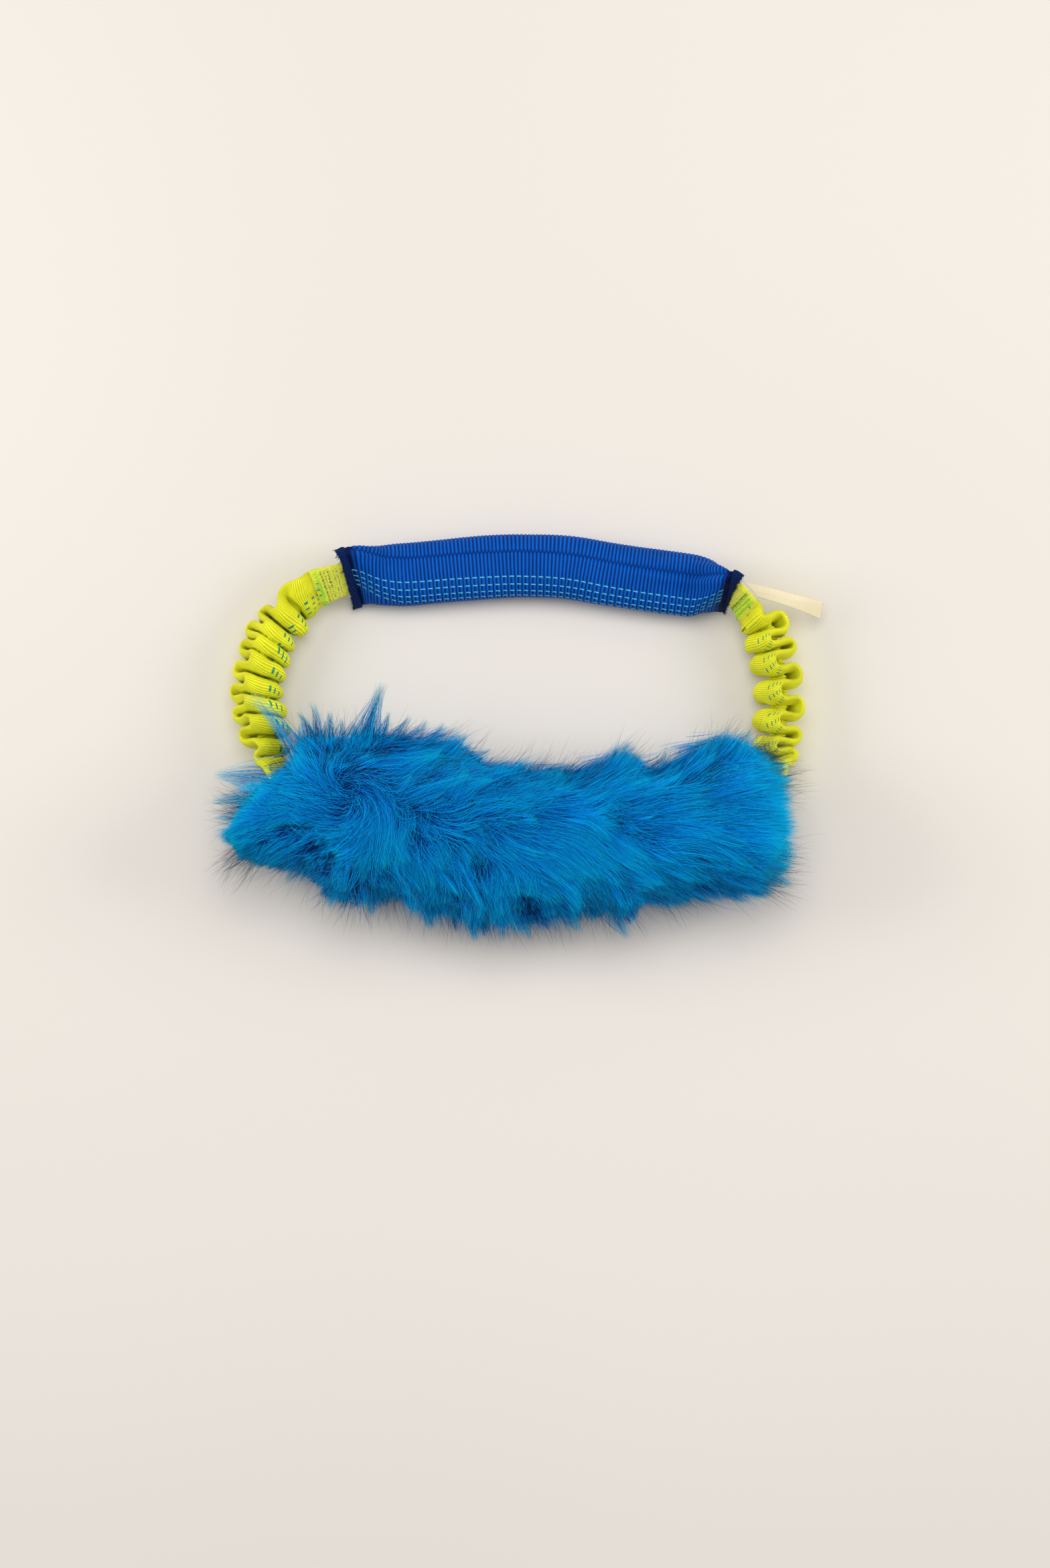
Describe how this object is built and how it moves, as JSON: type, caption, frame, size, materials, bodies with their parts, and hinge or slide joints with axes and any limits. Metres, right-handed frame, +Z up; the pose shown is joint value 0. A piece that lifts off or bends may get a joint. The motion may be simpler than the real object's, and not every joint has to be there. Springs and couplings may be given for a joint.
{
  "type": "bungee tug toy",
  "caption": "Tug toy: a padded webbing handle joined by gathered elastic webbing legs to a padded faux fur bite.",
  "frame": {"origin": "centre of the toy's outline as it lies flat, on the table", "axes": "+X from the left leg to the right leg, +Y from the fur bite to the handle, +Z up from the table"},
  "size_m": [0.3547, 0.2375, 0.0715],
  "materials": {
    "blue_webbing": "ribbed tubular webbing",
    "navy_hem": "folded and sewn webbing",
    "lime_webbing": "fine ribbed webbing",
    "stitched_lime": "webbing under dense zigzag stitching",
    "cord_cover": "braided cover",
    "rubber_strands": "bundled strands",
    "foam": "soft padding",
    "fur": "long pile",
    "knit_backing": "knitted",
    "satin_ribbon": "satin"
  },
  "bodies": {
    "bite": {"fur_pile": "fur", "fur_backing": "knit_backing", "bite_core": "foam", "bite_strap": "lime_webbing", "left_lower_tack": "stitched_lime", "right_lower_tack": "stitched_lime"},
    "legs": {"left_bungee_sleeve": "lime_webbing", "right_bungee_sleeve": "lime_webbing", "left_cord_cover": "cord_cover", "right_cord_cover": "cord_cover", "left_cord_core": "rubber_strands", "right_cord_core": "rubber_strands"},
    "handle": {"handle_sleeve": "blue_webbing", "handle_core": "foam", "handle_strap": "lime_webbing", "left_hem": "navy_hem", "right_hem": "navy_hem", "left_upper_tack": "stitched_lime", "right_upper_tack": "stitched_lime"},
    "label": {"label_tab": "satin_ribbon"}
  },
  "joints": [
    {"name": "leg_swing", "type": "hinge", "parent": "bite", "child": "legs", "pos_m": [-0.0024, -0.0197, 0.021], "axis": [1, 0, 0], "range_deg": [-90, 120], "deforming": ["left_bungee_sleeve", "right_bungee_sleeve", "left_cord_cover", "right_cord_cover", "left_cord_core", "right_cord_core"]},
    {"name": "bungee_stretch", "type": "slide", "parent": "legs", "child": "handle", "axis": [0, 1, 0], "range_m": [0, 0.09], "stiffness_N_per_m": 300, "deforming": ["left_bungee_sleeve", "right_bungee_sleeve", "left_cord_cover", "right_cord_cover", "left_cord_core", "right_cord_core"]},
    {"name": "label_flop", "type": "hinge", "parent": "handle", "child": "label", "pos_m": [0.13, 0.0843, 0.0326], "axis": [0.6758, -0.6968, -0.2404], "range_deg": [-5, 50], "stiffness_Nm_per_rad": 0.001}
  ]
}
